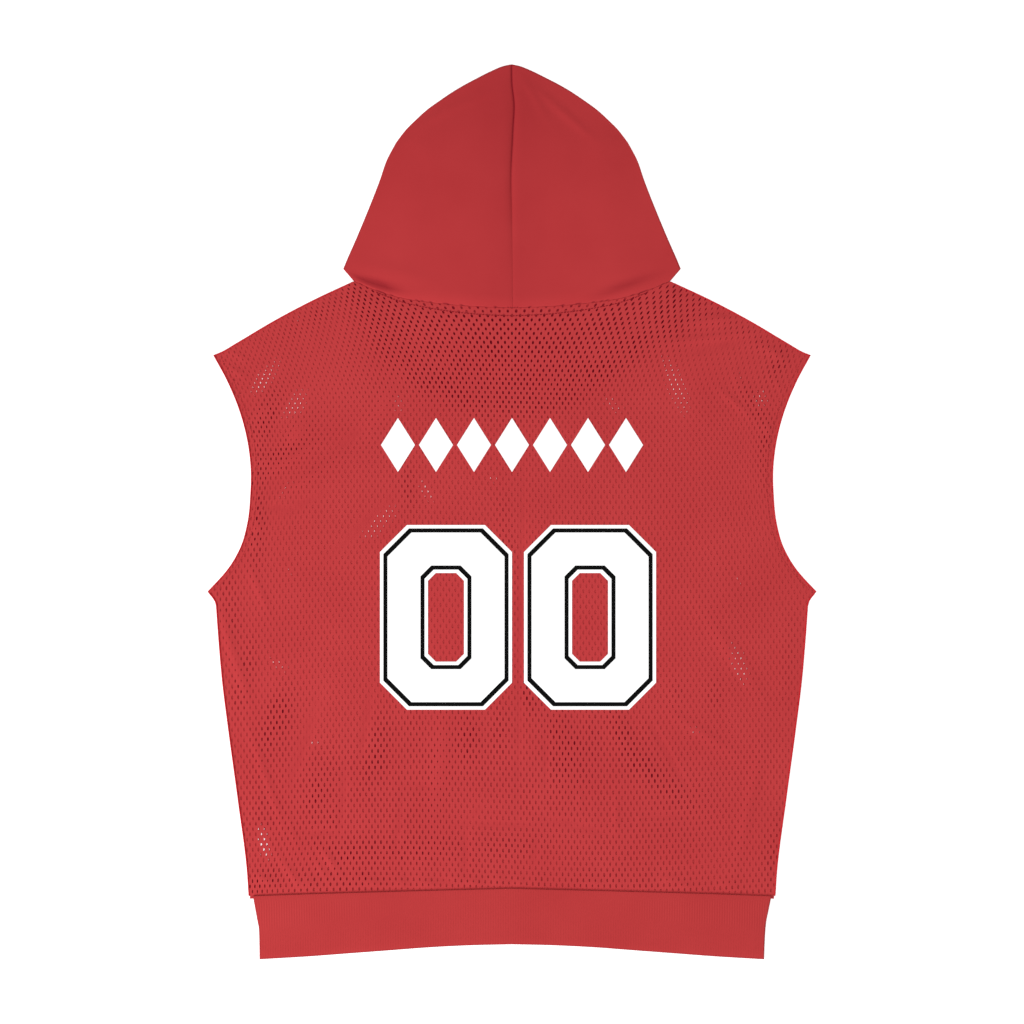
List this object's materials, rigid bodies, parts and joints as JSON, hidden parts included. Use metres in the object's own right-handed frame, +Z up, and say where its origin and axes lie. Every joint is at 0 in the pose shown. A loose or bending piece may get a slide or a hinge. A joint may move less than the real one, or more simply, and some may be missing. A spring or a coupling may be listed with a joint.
{
  "type": "sleeveless hoodie",
  "caption": "Sleeveless hooded top in open athletic mesh with a jersey hood and a knitted hem band, lying flat on its front.",
  "frame": {"origin": "on the surface the cloth rests on, under the middle of the outline", "axes": "+Y from the hem to the hood, +X across the garment to the right as seen from above, +Z up out of the back"},
  "size_m": [0.6088, 0.8946, 0.0048],
  "materials": {
    "mesh": "red open athletic mesh, warp knitted, with small upright holes",
    "jersey": "red smooth jersey, matt with a faint sheen",
    "rib": "red fine doubled rib knit, matt"
  },
  "bodies": {
    "root": {"back_panel": "mesh", "front_panel": "mesh", "hood_left": "jersey", "hood_right": "jersey", "hem_band": "rib"}
  },
  "joints": []
}
